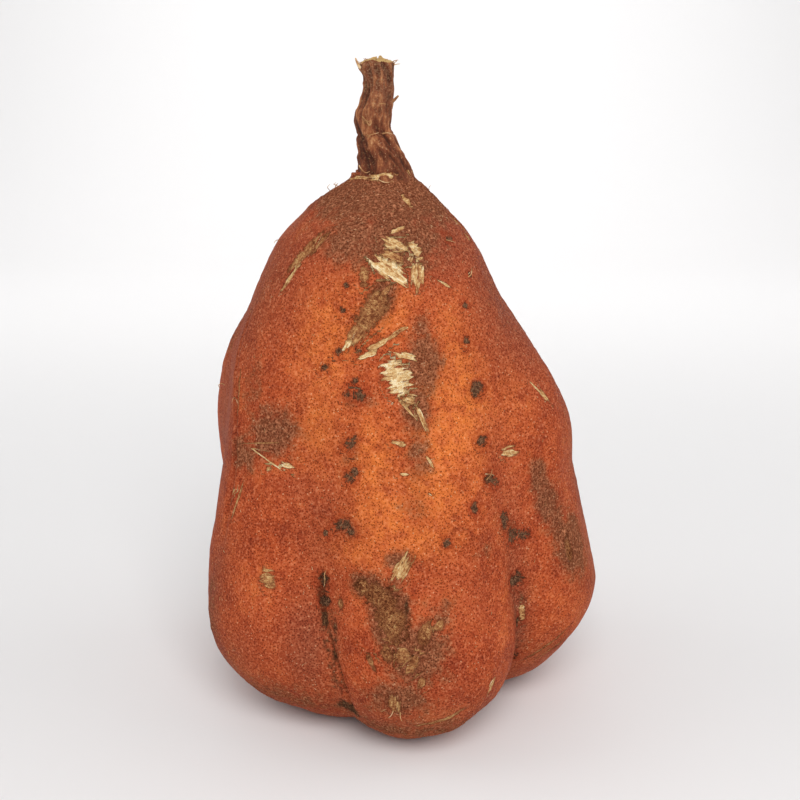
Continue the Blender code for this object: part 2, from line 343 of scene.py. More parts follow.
# Scurf: rough brown corky skin. Bearing, height, half width and half rise in mm, strength.
scurf = patches([
    (0, 153, 60, 8, 1.0), (-4, 142, 14, 9, 1.0), (-32, 143, 9, 8, 0.9), (8, 120, 3.5, 5, 0.7),
    (8, 111, 6.0, 9, 1.0), (5, 99, 5.0, 7, 0.95), (5, 88, 4.5, 8, 0.7), (4, 74, 6, 6, 0.45),
    (-10, 128, 4, 6, 0.8), (-51, 90, 9, 8, 0.95), (-62, 82, 8, 7, 0.8), (-62, 100, 5, 9, 0.5),
    (55.5, 76, 3.4, 6, 1.1), (58, 68, 4.0, 7, 1.1), (67, 53, 8, 11, 1.0), (62, 60, 5, 12, 0.8),
    (-12, 53, 6, 4, 0.9), (-4, 46, 6.5, 10, 1.0), (3, 36, 10, 10, 1.0), (10, 46, 5, 5, 0.6),
    (-2, 23, 10, 6, 0.9), (4, 10, 30, 6, 0.65), (-45, 13, 24, 7, 0.6), (-68, 30, 6, 16, 0.6),
    (60, 22, 16, 7, 0.3), (-2, 60, 4, 3, 0.9), (-19, 67, 6, 4, 0.5), (-18, 102, 6, 4, 0.5),
    (-19.5, 86, 4, 7, 0.4), (42, 64, 5, 4, 0.5), (28, 60, 5, 3, 0.5),
    (140, 118, 12, 12, 0.8), (-165, 100, 14, 18, 0.8), (-120, 60, 10, 18, 0.7),
    (110, 56, 12, 14, 0.8), (170, 40, 18, 14, 0.8), (-95, 110, 8, 14, 0.5),
    (95, 110, 8, 14, 0.5), (180, 12, 60, 6, 0.7)])
# Bright orange skin, where the flesh shows through most.
glow = patches([
    (14, 104, 7, 12, 0.9), (12, 90, 9, 10, 1.0), (9, 78, 9, 10, 1.0), (-6, 124, 6, 7, 0.9),
    (-12, 84, 8, 14, 0.9), (-8, 72, 10, 9, 1.0), (-16, 62, 8, 5, 0.7), (-34, 94, 7, 12, 0.75),
    (6, 66, 12, 6, 0.8), (25, 100, 9, 22, 1.0), (-34, 118, 10, 14, 0.75), (50, 100, 8, 14, 0.3),
    (150, 90, 14, 16, 0.7), (-150, 82, 12, 16, 0.7), (100, 84, 12, 14, 0.5)])
# Redder, darker skin, partly its own colour and partly painted shade: low on the lobes, in the
# valleys, on the shoulders and up the sides, where less light falls.
red_and_shade = patches([
    (-52, 28, 14, 14, 0.8), (-34, 34, 8, 14, 1.0), (-22, 40, 4, 14, 0.6), (-40, 76, 8, 5, 0.8),
    (-86, 100, 14, 44, 1.0), (80, 112, 14, 40, 1.0), (36, 76, 5, 16, 0.8), (-66, 50, 8, 30, 0.5),
    (42, 62, 5, 12, 0.8), (44, 40, 5, 22, 0.9), (-25, 75, 7, 6, 0.6), (34, 136, 12, 9, 0.9),
    (55, 122, 14, 22, 0.7), (0, 152, 50, 10, 0.8), (-56, 132, 9, 16, 0.7), (84, 50, 9, 30, 0.7),
    (12, 26, 14, 7, 0.6), (180, 60, 40, 80, 0.35),
    (16, 48, 12, 14, 0.65), (-30, 64, 12, 8, 0.4)])
# Painted shade, partly browner skin: darker brown on the shoulder, the flanks and the foot, where
# less light falls.
shade_and_browning = patches([
    (30, 146, 26, 14, 1.0), (-30, 146, 26, 12, 0.8), (70, 124, 16, 22, 0.9),
    (180, 146, 60, 14, 0.9),
    (-76, 128, 14, 26, 0.8), (-78, 80, 10, 50, 0.35), (84, 70, 10, 60, 0.6), (0, 4, 120, 10, 0.6),
    (-62, 22, 12, 10, 0.7), (56, 14, 16, 10, 0.6), (-31, 32, 7, 16, 0.8),
    (-66, 34, 7, 22, 0.9), (74, 50, 8, 16, 0.8), (0, 14, 34, 8, 0.7), (-4, 146, 20, 10, 0.6)])

# Hollows, such as creases and valleys: how far the skin lies inside its own outline
# averaged over 6 mm each way round in front and 12 mm behind. Soil and painted shadow stay
# in the tight ones, and every hollow is painted darker brown as shade.
near_middle = np.hypot(plain_skin_mm[..., 0] + 4, plain_skin_mm[..., 1])
hollow = -near_middle
for step in range(1, 13):
    hollow = hollow + (np.roll(near_middle, step, 1) + np.roll(near_middle, -step, 1)) / 24
low = np.clip((62 - skin_height) / 18, 0, 1)
# The crease between the front and left lobes, and the fold up the left flank: each is one
# smooth S from a low point to a high one, (height, bearing).
CREASE = [(12, -18), (50, -30)]
FOLD = [(74, -65), (120, -77)]
crease = np.exp(-(beside(smooth_between(skin_height, CREASE, 1)) / 0.9) ** 2)
crease *= np.clip((skin_height - 12) / 5, 0, 1) * np.clip((54.5 - skin_height) / 4, 0, 1)
fold_side = beside(smooth_between(skin_height, FOLD, 1))
fold_ends = np.clip((skin_height - 54) / 14, 0, 1) * np.clip((122 - skin_height) / 14, 0, 1)
fold = np.exp(-((fold_side + 0.6) / 1.3) ** 2) * fold_ends
soil_and_shade = np.clip(hollow / 1.3 - 0.25, 0, 1) * low * (0.35 + 0.45 * (np.abs(skin_bearing + 30) < 30))
# The crease between the front and left lobes is drawn in dark soil colour its whole length: soil,
# full above 41 mm, and painted shadow at half strength below 34 mm.
soil_and_shade = np.maximum(soil_and_shade, crease * np.clip(0.5 + (skin_height - 34) / 14, 0.5, 1))
# The last patch is a painted shadow in a crack in the crust low in front; the others are soil.
soil_and_shade = np.maximum(soil_and_shade, patches([(-29.5, 47, 2.0, 3.2, 0.8), (-20, 13, 5, 3, 0.9),
                                 (0.5, 48, 0.8, 4, 0.85)]))
# Painted shadow: the strip just left of the fold up the left flank is made redder and darker, as
# the shade beside the fold.
red_and_shade = np.maximum(red_and_shade, 1.1 * np.clip(-fold_side / 1.5, 0, 1) * np.clip(fold_side / 9 + 1, 0, 1)
                 * fold_ends)

# The surface itself: slow swellings, faint upright ribs, fine lumps, then every mark.
lumps = (0.45 * waves(plain_skin_mm * (1, 1, 0.6), 34, 3)
         + 0.15 * waves(plain_skin_mm * (1, 1, 0.5), 13, 5)
         + 0.06 * waves(plain_skin_mm, 5.5, 7) + 0.03 * waves(plain_skin_mm, 2.6, 9, 40))
calm = np.clip((COLLAR_HEIGHT - skin_height) / 12, 0.15, 1)
relief = lumps * calm
# Swellings of a millimetre or so on the flanks and the neck, and two flatter places.
relief += 1.5 * patches([(84, 107, 16, 12, 0.75), (84, 86, 16, 13, 0.75), (80, 66, 14, 9, 0.6),
                         (-96, 84, 12, 9, 0.9), (64, 17, 12, 9, 0.9), (84, 155, 8, 5, 1.0),
                         (-86, 151, 8, 4, 0.9), (14, 158, 12, 3, 0.3)])
relief -= 1.2 * patches([(88, 46, 12, 8, 0.9), (-60, 9, 14, 8, 0.9)])
relief += 0.16 * scurf * waves(plain_skin_mm, 2.2, 13, 40)
relief -= 0.35 * soil_and_shade + 1.5 * crease + 2.2 * fold
relief += 0.75 * np.exp(-((fold_side - 1.6) / 1.6) ** 2) * fold_ends
ragged = 0.25 * waves(plain_skin_mm, 3.0, 17)
torn = np.clip((1.15 - scrape_far + 0.6 * ragged) / 0.35, 0, 1)
lip = np.exp(-((scrape_far - 1.25) / 0.25) ** 2)
thick = np.clip(np.array([min(m[2], m[3]) for m in SCRAPES])[scrape_number] / 2.0, 0.15, 1)
relief += thick * (0.24 * lip - 0.45 * torn)
crust = patches([(-13, 51.8, 2.6, 2.6, 1.0), (-7, 50, 3.4, 3.2, 1.0), (-2.6, 43.4, 3.4, 6, 1.0),
                 (-0.6, 36.4, 3, 3, 0.8), (5.8, 41.4, 2.2, 3.4, 0.8), (2.2, 33.2, 2, 3, 0.7),
                 (-14, 125, 4, 8, 0.6)])
relief += 0.9 * crust * (1 + 0.5 * waves(plain_skin_mm, 2.4, 23, 40))
pit = np.clip((1.1 - scar_far + ragged) / 0.6, 0, 1)
rim = np.exp(-((scar_far - 1.5) / 0.45) ** 2)
relief += scar_radius * (0.10 * rim - 0.30 * pit)
relief += 0.35 * pit * waves(plain_skin_mm, 1.6, 19, 40)
# The skin's upper edge curls away from the stalk and is torn uneven.
CURL_HEIGHT = 2.4
curl = np.clip((skin_height - COLLAR_HEIGHT + CURL_HEIGHT) / CURL_HEIGHT, 0, 1) ** 2
relief += curl * (0.45 + 0.3 * waves(plain_skin_mm, 4.5, 29))
skin_mm = plain_skin_mm + skin_out * relief[..., None]
skin_mm[..., 2] += 0.55 * curl * waves(plain_skin_mm * (1, 1, 0), 5.5, 31)
skin_mm[..., 2] = np.maximum(skin_mm[..., 2], 0)


MILLIMETRE = 0.001      # in metres


def grid_mesh(name, grid, low_pole=None, high_pole=None, closed=True):
    """A mesh in metres over a grid of points in mm, quads between neighbours, with a fan of
    triangles to a point at either end. The last column joins the first when closed. Seen
    from outside, columns run to the right and rows run up."""
    rows, columns = grid.shape[:2]
    points = [grid.reshape(-1, 3)]
    index = np.arange(rows * columns).reshape(rows, columns)
    near = index if closed else index[:, :-1]
    far = np.roll(index, -1, 1) if closed else index[:, 1:]
    faces = [np.stack([near[:-1], far[:-1], far[1:], near[1:]], -1).reshape(-1, 4)]
    count = rows * columns
    tris = []
    for pole, row, flip in ((low_pole, 0, True), (high_pole, -1, False)):
        if pole is not None:
            points.append(np.reshape(pole, (1, 3)))
            a, b = (far[row], near[row]) if flip else (near[row], far[row])
            tris.append(np.stack([a, b, np.full_like(a, count)], -1))
            count += 1
    mesh = bpy.data.meshes.new(name)
    verts = np.concatenate(points) * MILLIMETRE
    corners = np.concatenate([f.ravel() for f in faces + tris])
    sizes = np.concatenate([np.full(len(f), f.shape[1]) for f in faces + tris])
    mesh.vertices.add(len(verts))
    mesh.vertices.foreach_set("co", verts.ravel())
    mesh.loops.add(len(corners))
    mesh.loops.foreach_set("vertex_index", corners.astype(np.int32))
    mesh.polygons.add(len(sizes))
    mesh.polygons.foreach_set("loop_start", (np.cumsum(sizes) - sizes).astype(np.int32))
    mesh.polygons.foreach_set("use_smooth", np.ones(len(sizes), bool))
    mesh.update(calc_edges=True)
    mesh.validate()
    piece = bpy.data.objects.new(name, mesh)
    bpy.context.scene.collection.objects.link(piece)
    return piece


def give(piece, name, values, extra):
    """Stores three numbers per point on a piece, with `extra` for the points at its poles."""
    flat = np.asarray(values, float).reshape(-1, 3)
    missing = len(piece.data.vertices) - len(flat)
    flat = np.concatenate([flat, np.tile(np.reshape(extra, (1, 3)), (missing, 1))])
    layer = piece.data.attributes.new(name, "FLOAT_VECTOR", "POINT")
    layer.data.foreach_set("vector", flat.astype(np.float32).ravel())


skin = grid_mesh("skin", skin_mm[1:], low_pole=skin_mm[0].mean(0),
                 high_pole=skin_mm[-1].mean(0))
nought = np.zeros_like(skin_height)
give(skin, "scrape", np.dstack([scrape_share, nought])[1:], (9, 9, 0))
give(skin, "fibre", np.dstack([scrape_mm, scrape_number * 7.3])[1:], (0, 0, 0))
give(skin, "scar", np.dstack([scar_share, nought])[1:], (9, 9, 0))
# The second and third layers carry painted shade: the red zone in part, soil with painted shadow in
# the creases, and darker brown in the hollows and on the shoulders, flanks and foot.
give(skin, "zones", np.dstack([scurf, glow, red_and_shade])[1:], (0.4, 0, 0))
give(skin, "dirt_and_shade", np.dstack([soil_and_shade, np.maximum(np.clip(hollow / 2, 0, 1), shade_and_browning),
                              scrape_pallor])[1:], (0, 0.6, 0))


def srgb(code):
    """A colour given as sRGB hex, turned to linear: c / 12.92 when dark, otherwise
    ((c + 0.055) / 1.055) ^ 2.4."""
    parts = [int(code[i:i + 2], 16) / 255 for i in (1, 3, 5)]
    return tuple(c / 12.92 if c <= 0.04045 else ((c + 0.055) / 1.055) ** 2.4
                 for c in parts) + (1.0,)


def add(tree, kind, *values, out=0, named=None, ramp=(), **settings):
    """Adds one shader node and returns its output `out`. `values` fill its sockets in order
    and `named` fills others by name or number: an output is linked, a hex colour is turned
    to linear, and anything else is set. `ramp` holds a colour ramp's stops as (position,
    hex colour), and `settings` are the node's own properties."""
    node = tree.nodes.new("ShaderNode" + kind)
    for name, value in settings.items():
        setattr(node, name, value)
    for socket, value in [*enumerate(values), *(named or {}).items()]:
        if isinstance(value, bpy.types.NodeSocket):
            tree.links.new(value, node.inputs[socket])
        else:
            node.inputs[socket].default_value = srgb(value) if isinstance(value, str) else value
    for i, (position, code) in enumerate(ramp):
        stops = node.color_ramp.elements
        stop = stops[i] if i < len(stops) else stops.new(position)
        stop.position, stop.color = position, srgb(code)
    return node.outputs[out] if node.outputs else node


def bare_material(name):
    """A new material with an empty node tree, and that tree."""
    made = bpy.data.materials.new(name)
    made.use_nodes = True
    made.node_tree.nodes.clear()
    return made, made.node_tree


# Sweet potato skin: a cork layer a fraction of a millimetre thick over orange flesh. It is
# matt, orange where thin and brown where thick, dotted all over with dark pores; scurf,
# torn fibres, root scars and soil lie over it. Shade is painted into it too: red and brown
# on the sides, shoulders and foot and in the hollows, and dark earth colour along a crease.
periderm, tree = bare_material("sweet_potato_periderm")
MM = 1000.0     # a texture scale that counts one unit for each millimetre
place = add(tree, "TexCoord", out="Object")
zones, dirt_and_shade, scrape_at, scar_at, fibre_at = [
    add(tree, "Attribute", attribute_name=name, out="Vector")
    for name in ("zones", "dirt_and_shade", "scrape", "scar", "fibre")]
scurf_at, glow_at, red_and_shade_at, soil_and_shade_at, brown_and_shade_at, pallor_at = [
    add(tree, "SeparateXYZ", source, out=axis) for source in (zones, dirt_and_shade) for axis in range(3)]
# Noises, each by the size of its grain in mm, its octaves and its roughness.
broad, mottle, wobble, grain, crumb = [
    add(tree, "TexNoise", named={"Vector": place, "Scale": MM / size, "Detail": octaves,
                                 "Roughness": rough})
    for size, octaves, rough in ((15, 3, 0.55), (3.4, 5, 0.68), (1.8, 3, 0.6), (0.85, 3, 0.72),
                                 (0.5, 2, 0.65))]

# Skin between the pores, by blotch, and then by zone: orange, red and brown, the red and
# brown partly painted shade.
colour = add(tree, "ValToRGB", add(tree, "MapRange", add(tree, "Math", broad, mottle), 0.72, 1.28),
             ramp=[(0.0, "#8b371f"), (0.35, "#a64725"), (0.65, "#b8552d"), (1.0, "#c86735")])
for amount, top, least, most in ((glow_at, "#de7936", 0.2, 0.9), (red_and_shade_at, "#964027", 0.5, 0.78),
                                 (brown_and_shade_at, "#7f4531", 0.45, 0.85)):
    spread = add(tree, "MapRange", mottle, 0.34, 0.62, least, most)
    spread = add(tree, "Math", amount, spread, operation="MULTIPLY", use_clamp=True)
    colour = add(tree, "Mix", named={0: spread, 6: colour, 7: top}, data_type="RGBA", out=2)
# Fibres of dry cork lie over the rough places in a pale net: they follow the lines where
# a noise of 1.8 mm crosses its middle.
web = add(tree, "Math", wobble, 0.5, operation="SUBTRACT")
web = add(tree, "MapRange", add(tree, "Math", web, operation="ABSOLUTE"), 0.035, 0.008)

# Scurf: brown cork with a dry pale grain, its edge broken up.
scurf_edge = add(tree, "Math", mottle, 1.5, scurf_at, operation="MULTIPLY_ADD")
scurf_amount = add(tree, "MapRange", scurf_edge, 0.96, 1.50, 0.0, 0.9,
                   interpolation_type="SMOOTHSTEP")
cork_tone = add(tree, "MapRange", add(tree, "Math", crumb, grain), 0.65, 1.35)
cork = add(tree, "ValToRGB", cork_tone, ramp=[
    (0.0, "#552b1a"), (0.4, "#6f3d27"), (0.7, "#835037"), (1.0, "#9c6b4c")])
cork = add(tree, "Mix", named={0: add(tree, "Math", web, 0.16, operation="MULTIPLY"), 6: cork,
                               7: "#bb8a62"}, data_type="RGBA", out=2)
colour = add(tree, "Mix", named={0: scurf_amount, 6: colour, 7: cork}, data_type="RGBA", out=2)

# Pores: dark dots up to 0.4 mm across, in a paler net of cork, with a few pale dry flecks.
# The real ones are half as wide, and are drawn coarser so that they show.
pore_far = add(tree, "TexVoronoi", named={"Vector": place, "Scale": MM / 0.6}, out="Distance")
pore = add(tree, "MapRange", pore_far, 0.40, 0.20, interpolation_type="SMOOTHSTEP")
net = add(tree, "MapRange", pore_far, 0.45, 0.75)
net = add(tree, "Math", net, add(tree, "MapRange", grain, 0.42, 0.62), operation="MULTIPLY")
fleck = add(tree, "MapRange", add(tree, "TexVoronoi", named={"Vector": place, "Scale": MM / 1.4},
                                  out="Distance"), 0.17, 0.10)
fleck = add(tree, "Math", fleck, add(tree, "MapRange", mottle, 0.40, 0.55), operation="MULTIPLY")
for amount, top, most in ((net, "#d98f68", 0.34), (pore, "#42160c", 0.62), (fleck, "#e2b48c", 0.5)):
    amount = add(tree, "Math", amount, most, operation="MULTIPLY")
    colour = add(tree, "Mix", named={0: amount, 6: colour, 7: top}, data_type="RGBA", out=2)
colour = add(tree, "VectorMath", colour, operation="SCALE", named={
    "Scale": add(tree, "MapRange", grain, 0.3, 0.7, 0.86, 1.14)})

# Soil in the creases, and painted shadow along the tightest crease and in a crack.
soil_and_shade_edge = add(tree, "Math", wobble, 1.3, soil_and_shade_at, operation="MULTIPLY_ADD")
soil_and_shade_amount = add(tree, "MapRange", soil_and_shade_edge, 0.98, 1.32, 0.0, 0.93)
earth_and_shade = add(tree, "ValToRGB", cork_tone, ramp=[
    (0.1, "#22160f"), (0.55, "#47301f"), (0.95, "#8f6d4b")])

# Root scars: a dark crumbly disc of broken ends in a redder ring, its outline ragged.
scar_far_at = add(tree, "Math", add(tree, "VectorMath", scar_at, operation="LENGTH", out="Value"),
                  add(tree, "Math", mottle, 3.4, -1.7, operation="MULTIPLY_ADD"))
scar_far_at = add(tree, "Math", grain, 1.8, scar_far_at, operation="MULTIPLY_ADD")
scar_ring = add(tree, "MapRange", scar_far_at, 3.8, 1.9, 0.0, 0.5)
scar_amount = add(tree, "MapRange", scar_far_at, 2.0, 1.5, 0.0, 0.94)
broken_ends = add(tree, "Mix", named={0: add(tree, "Math", web, 0.2, operation="MULTIPLY"), 6: add(
    tree, "ValToRGB", cork_tone, ramp=[(0.1, "#2c1b13"), (0.5, "#583d2c"), (0.95, "#9c7759")]),
    7: "#b08f68"}, data_type="RGBA", out=2)

# Torn places: fibres run along each, frayed at its ends, from brown to cream by pallor.
strand, coarse_strand = [
    add(tree, "TexNoise", named={"Scale": 1.0, "Detail": octaves, "Vector": add(
        tree, "Mapping", fibre_at, (0, 0, 0), (0, 0, 0), stretch)})
    for octaves, stretch in ((4, (0.30, 2.4, 1.0)), (2, (0.18, 0.9, 1.0)))]
# The browner ones have lost their fibres, and are crumbly instead.
fibrous = add(tree, "MapRange", pallor_at, 0.38, 0.62)
strand, coarse_strand = [
    add(tree, "Mix", fibrous, named={2: crumbly, 3: fibre}, data_type="FLOAT")
    for crumbly, fibre in ((crumb, strand), (mottle, coarse_strand))]
scrape_far_at = add(tree, "Math", coarse_strand, 2.8, add(
    tree, "VectorMath", scrape_at, operation="LENGTH", out="Value"), operation="MULTIPLY_ADD")
for noise, share in ((strand, 1.0), (wobble, 1.0), (grain, 0.8)):
    scrape_far_at = add(tree, "Math", noise, share, scrape_far_at, operation="MULTIPLY_ADD")
scrape_ring = add(tree, "MapRange", scrape_far_at, 4.4, 3.8, 0.0, 0.45)
scrape_amount = add(tree, "MapRange", scrape_far_at, 3.84, 3.64)
paleness = add(tree, "Math", pallor_at, 0.8, -1.31, operation="MULTIPLY_ADD")
for noise, share in ((strand, 1.0), (grain, 0.8), (mottle, 0.9)):
    paleness = add(tree, "Math", noise, share, paleness, operation="MULTIPLY_ADD")
flesh = add(tree, "ValToRGB", paleness, ramp=[
    (0.03, "#4a2513"), (0.25, "#794529"), (0.45, "#a06a42"), (0.65, "#c69a64"),
    (0.85, "#dfc08c"), (1.0, "#eedbb4")])
for amount, top in ((soil_and_shade_amount, earth_and_shade), (scar_ring, "#8d3218"),
                    (scar_amount, broken_ends), (scrape_ring, "#5e2d1a"), (scrape_amount, flesh)):
    colour = add(tree, "Mix", named={0: amount, 6: colour, 7: top}, data_type="RGBA", out=2)

# Relief in millimetres: pores sink; grain, cork, broken ends and fibres stand up.
rise = add(tree, "Math", grain, 0.22, operation="MULTIPLY")
rise = add(tree, "Math", pore, -0.07, rise, operation="MULTIPLY_ADD")
for amount, noise, height in ((scurf_amount, crumb, 0.16), (scurf_amount, web, 0.05),
                              (scrape_amount, strand, 0.42), (scar_amount, crumb, 0.5),
                              (soil_and_shade_amount, crumb, 0.3)):
    noise = add(tree, "Math", noise, height, operation="MULTIPLY")
    rise = add(tree, "Math", amount, noise, rise, operation="MULTIPLY_ADD")
bump = add(tree, "Bump", named={"Strength": 1.0, "Distance": MILLIMETRE, "Height": rise})
dry = add(tree, "Math", add(tree, "Math", scurf_amount, scrape_amount, operation="MAXIMUM"),
          add(tree, "Math", soil_and_shade_amount, scar_amount, operation="MAXIMUM"), operation="MAXIMUM")
shader = add(tree, "BsdfPrincipled", colour, 0.0, named={
    "Roughness": add(tree, "MapRange", add(tree, "Math", grain, 0.4, dry,
                                           operation="MULTIPLY_ADD"), 0.0, 1.2, 0.52, 0.9),
    "Normal": bump, "IOR": 1.45, "Specular IOR Level": 0.05})
add(tree, "OutputMaterial", shader)
skin.data.materials.append(periderm)
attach(skin, "root")
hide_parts("sweet_potato")


# ------------------------------
# The stalk: the dried stem the root hung from, tough bark in long strands round pale pith.
# It grows out of the neck inside the torn edge of the skin, leans a little, and ends where
# it was broken off, in frayed fibres.
# ------------------------------
# Height, centre x, radius.
STALK = [(150, -5.8, 9.1), (157, -5.5, 8.1), (160, -5.9, 7.4), (165, -7.1, 6.3),
         (170, -8.5, 5.2), (172, -9.0, 5.0), (175, -8.9, 5.0), (178, -8.1, 4.7),
         (183, -7.3, 4.3), (191, -7.5, 4.6)]
STALK_FOOT, STALK_RIM = 150.0, HEIGHT - 1.0
CRACK_HEIGHT, KNOB_HEIGHT = 169.6, 187.2
BROKEN_END = (-7.6, 0.2)    # the middle of the broken end, x and y


def bark_strands(level, round_):
    """The bark's strands, from -1 in a furrow to 1 on a ridge: ridged noise, 1 - 2 |w|, that
    changes slowly up the stalk and turns round it a little, and a finer one of the same
    kind. `level` is the height in mm and `round_` the angle."""
    twisted = round_ + 0.03 * (level - 170) + 0.16 * np.sin(level * 0.23)
    about = np.stack([4.6 * np.cos(twisted), 4.6 * np.sin(twisted)], -1)
    slow = np.concatenate([about, level[..., None] * 0.12], -1)
    quick = np.concatenate([about, level[..., None] * 0.30], -1)
    return (1 - 1.7 * np.abs(waves(slow, 4.2, 101)), 1 - 1.9 * np.abs(waves(quick, 2.4, 103, 40)))


def stalk_points(up, round_):
    """The stalk's surface over `up`, 0 at the foot, 1 at the rim and 2 in the middle of the
    broken end, and `round_`, the angle: a circle of the stalk's radius about its leaning
    middle line, plus strands, lumps, a ring crack and a knob, with a ragged rim."""
    level = STALK_FOOT + (STALK_RIM - STALK_FOOT) * np.clip(up, 0, 1)
    inward = np.clip(up - 1, 0, 1)
    broad_strands, fine_strands = bark_strands(level, round_)
    lumps = 0.16 * waves(np.stack([5 * np.cos(round_), 5 * np.sin(round_), level], -1), 8, 107)
    crack = CRACK_HEIGHT + 0.8 * np.sin(round_ + 0.6) + 0.4 * np.sin(3 * round_)
    ring = -0.3 * np.exp(-((level - crack) / 0.4) ** 2) + 0.12 * np.exp(
        -((level - crack + 1.0) / 0.6) ** 2)
    knob = 0.9 * np.exp(-((level - KNOB_HEIGHT) / 1.5) ** 2
                        - ((np.abs(round_ - np.pi) % (2 * np.pi)) / 0.5) ** 2)
    radius = smooth_between(level, STALK, 2) + ring + knob + lumps
    radius = radius + (0.22 * broad_strands + 0.2 * fine_strands) * (1 - 0.7 * inward)
    end = np.stack([3 * inward * np.cos(round_), 3 * inward * np.sin(round_), 0 * level], -1)
    ragged_rim = 0.6 * waves(np.stack([4 * np.cos(round_), 4 * np.sin(round_), 0 * level],
                                      -1), 3.4, 109, 40)
    level = level + np.clip((up - 0.93) / 0.07, 0, 1) * ragged_rim * (1 - inward)
    level = level + 0.7 * np.sin(inward * np.pi / 2) + 0.5 * inward * waves(end, 1.3, 113)
    radius = radius * np.cos(inward * np.pi / 2) ** 0.8
    return np.stack([smooth_between(level, STALK, 1) + radius * np.cos(round_),
                     BROKEN_END[1] + radius * np.sin(round_), level], -1)


stalk_up, stalk_round = np.meshgrid(
    np.concatenate([np.linspace(0, 1, 230), np.linspace(1, 1.96, 26)[1:]]),
    np.linspace(0, 2 * np.pi, 200, endpoint=False), indexing="ij")
stalk_mm = stalk_points(stalk_up, stalk_round)
stalk = grid_mesh("stalk", stalk_mm, low_pole=stalk_mm[0].mean(0),
                  high_pole=stalk_mm[-1].mean(0))
stalk_level = STALK_FOOT + (STALK_RIM - STALK_FOOT) * np.clip(stalk_up, 0, 1)
give(stalk, "bark", np.dstack([*bark_strands(stalk_level, stalk_round),
                               np.clip(stalk_up - 1, 0, 1)]), (0, 0, 1))

# Vine bark, dried: red-brown furrows between tan strands that have weathered paler on top,
# dull all over. It shows long flaking streaks, dustier toward the broken end, where the pith is
# straw-coloured.
bark_material, tree = bare_material("dried_vine_bark")
place = add(tree, "TexCoord", out="Object")
level_at = add(tree, "SeparateXYZ", place, out=2)
bark_at = add(tree, "Attribute", attribute_name="bark", out="Vector")
ridge_at, fine_ridge_at, end_at = [add(tree, "SeparateXYZ", bark_at, out=i) for i in range(3)]
upright = add(tree, "Mapping", place, (0, 0, 0), (0, 0, 0), (1.0, 1.0, 0.22))
streak, flake, dust = [
    add(tree, "TexNoise", named={"Vector": source, "Scale": MM / size, "Detail": octaves,
                                 "Roughness": 0.7})
    for source, size, octaves in ((upright, 0.9, 4), (place, 1.7, 4), (place, 0.5, 3))]
tone = add(tree, "Math", streak, 1.05, -0.45, operation="MULTIPLY_ADD")
for source, share in ((ridge_at, 0.12), (fine_ridge_at, 0.15), (flake, 0.7)):
    tone = add(tree, "Math", source, share, tone, operation="MULTIPLY_ADD")
colour = add(tree, "ValToRGB", tone, ramp=[
    (0.05, "#4a2314"), (0.28, "#66321c"), (0.46, "#7e432a"), (0.62, "#9c5d39"), (0.80, "#c08558"),
    (1.0, "#d8a878")])
dusty = add(tree, "Math", add(tree, "MapRange", level_at, 0.170, 0.187, 0.05, 0.6),
            add(tree, "MapRange", dust, 0.42, 0.62), operation="MULTIPLY")
pith = add(tree, "MapRange", add(tree, "Math", dust, 0.5, end_at, operation="MULTIPLY_ADD"),
           0.3, 0.42)
grit = add(tree, "MapRange", add(tree, "Math", flake, dust), 1.16, 1.3, 0.0, 0.6)
for amount, top in ((grit, "#d6ab86"), (dusty, "#a0785a"), (pith, "#c9a468")):
    colour = add(tree, "Mix", named={0: amount, 6: colour, 7: top}, data_type="RGBA", out=2)
rise = add(tree, "Math", streak, 0.9, operation="MULTIPLY")
for source, share in ((flake, 0.6), (dust, 0.25)):
    rise = add(tree, "Math", source, share, rise, operation="MULTIPLY_ADD")
bump = add(tree, "Bump", named={"Strength": 1.0, "Distance": MILLIMETRE, "Height": rise})
shader = add(tree, "BsdfPrincipled", colour, named={
    "Roughness": 0.78, "Normal": bump, "IOR": 1.45, "Specular IOR Level": 0.25})
add(tree, "OutputMaterial", shader)
stalk.data.materials.append(bark_material)
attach(stalk, "root")
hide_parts("sweet_potato")


# ------------------------------
# Rootlets and torn fibres: thread-like side roots, and fibres of skin that stand or lie
# loose where it tore. Each is a fine tapering tube rooted in the skin.
# ------------------------------
def thread(base, right, up, out, steps, radius, taper=0.35, sides=6, pieces=12):
    """A tube round a smooth line through `steps`, each (right, up, out) in mm from its
    base: the circle radius * (cos a, sin a) carried along the line and narrowing to
    `taper` of its width. Returns its points, ring by ring, with one at either end."""
    knots = np.array([base + a * right + b * up + c * out for a, b, c in steps], float)
    at = np.linspace(0, len(knots) - 1, pieces)
    rank = np.arange(len(knots), dtype=float)
    line = np.stack([smooth_between(at, np.stack([rank, knots[:, i]], 1), 1)
                     for i in range(3)], -1) if len(knots) > 2 else (
        knots[:1] + (knots[1:] - knots[:1]) * np.linspace(0, 1, pieces)[:, None])
    ahead = np.gradient(line, axis=0)
    ahead /= np.linalg.norm(ahead, axis=1, keepdims=True) + 1e-9
    side = np.cross(ahead, out + 0.3 * right + 0.01)
    side /= np.linalg.norm(side, axis=1, keepdims=True) + 1e-9
    over_ = np.cross(side, ahead)
    angle = np.linspace(0, 2 * np.pi, sides, endpoint=False)[None, :, None]
    width = (radius * np.linspace(1, taper, pieces))[:, None, None]
    rings = line[:, None] + width * (np.cos(angle) * side[:, None]
                                     + np.sin(angle) * over_[:, None])
    return rings, line[0], line[-1]


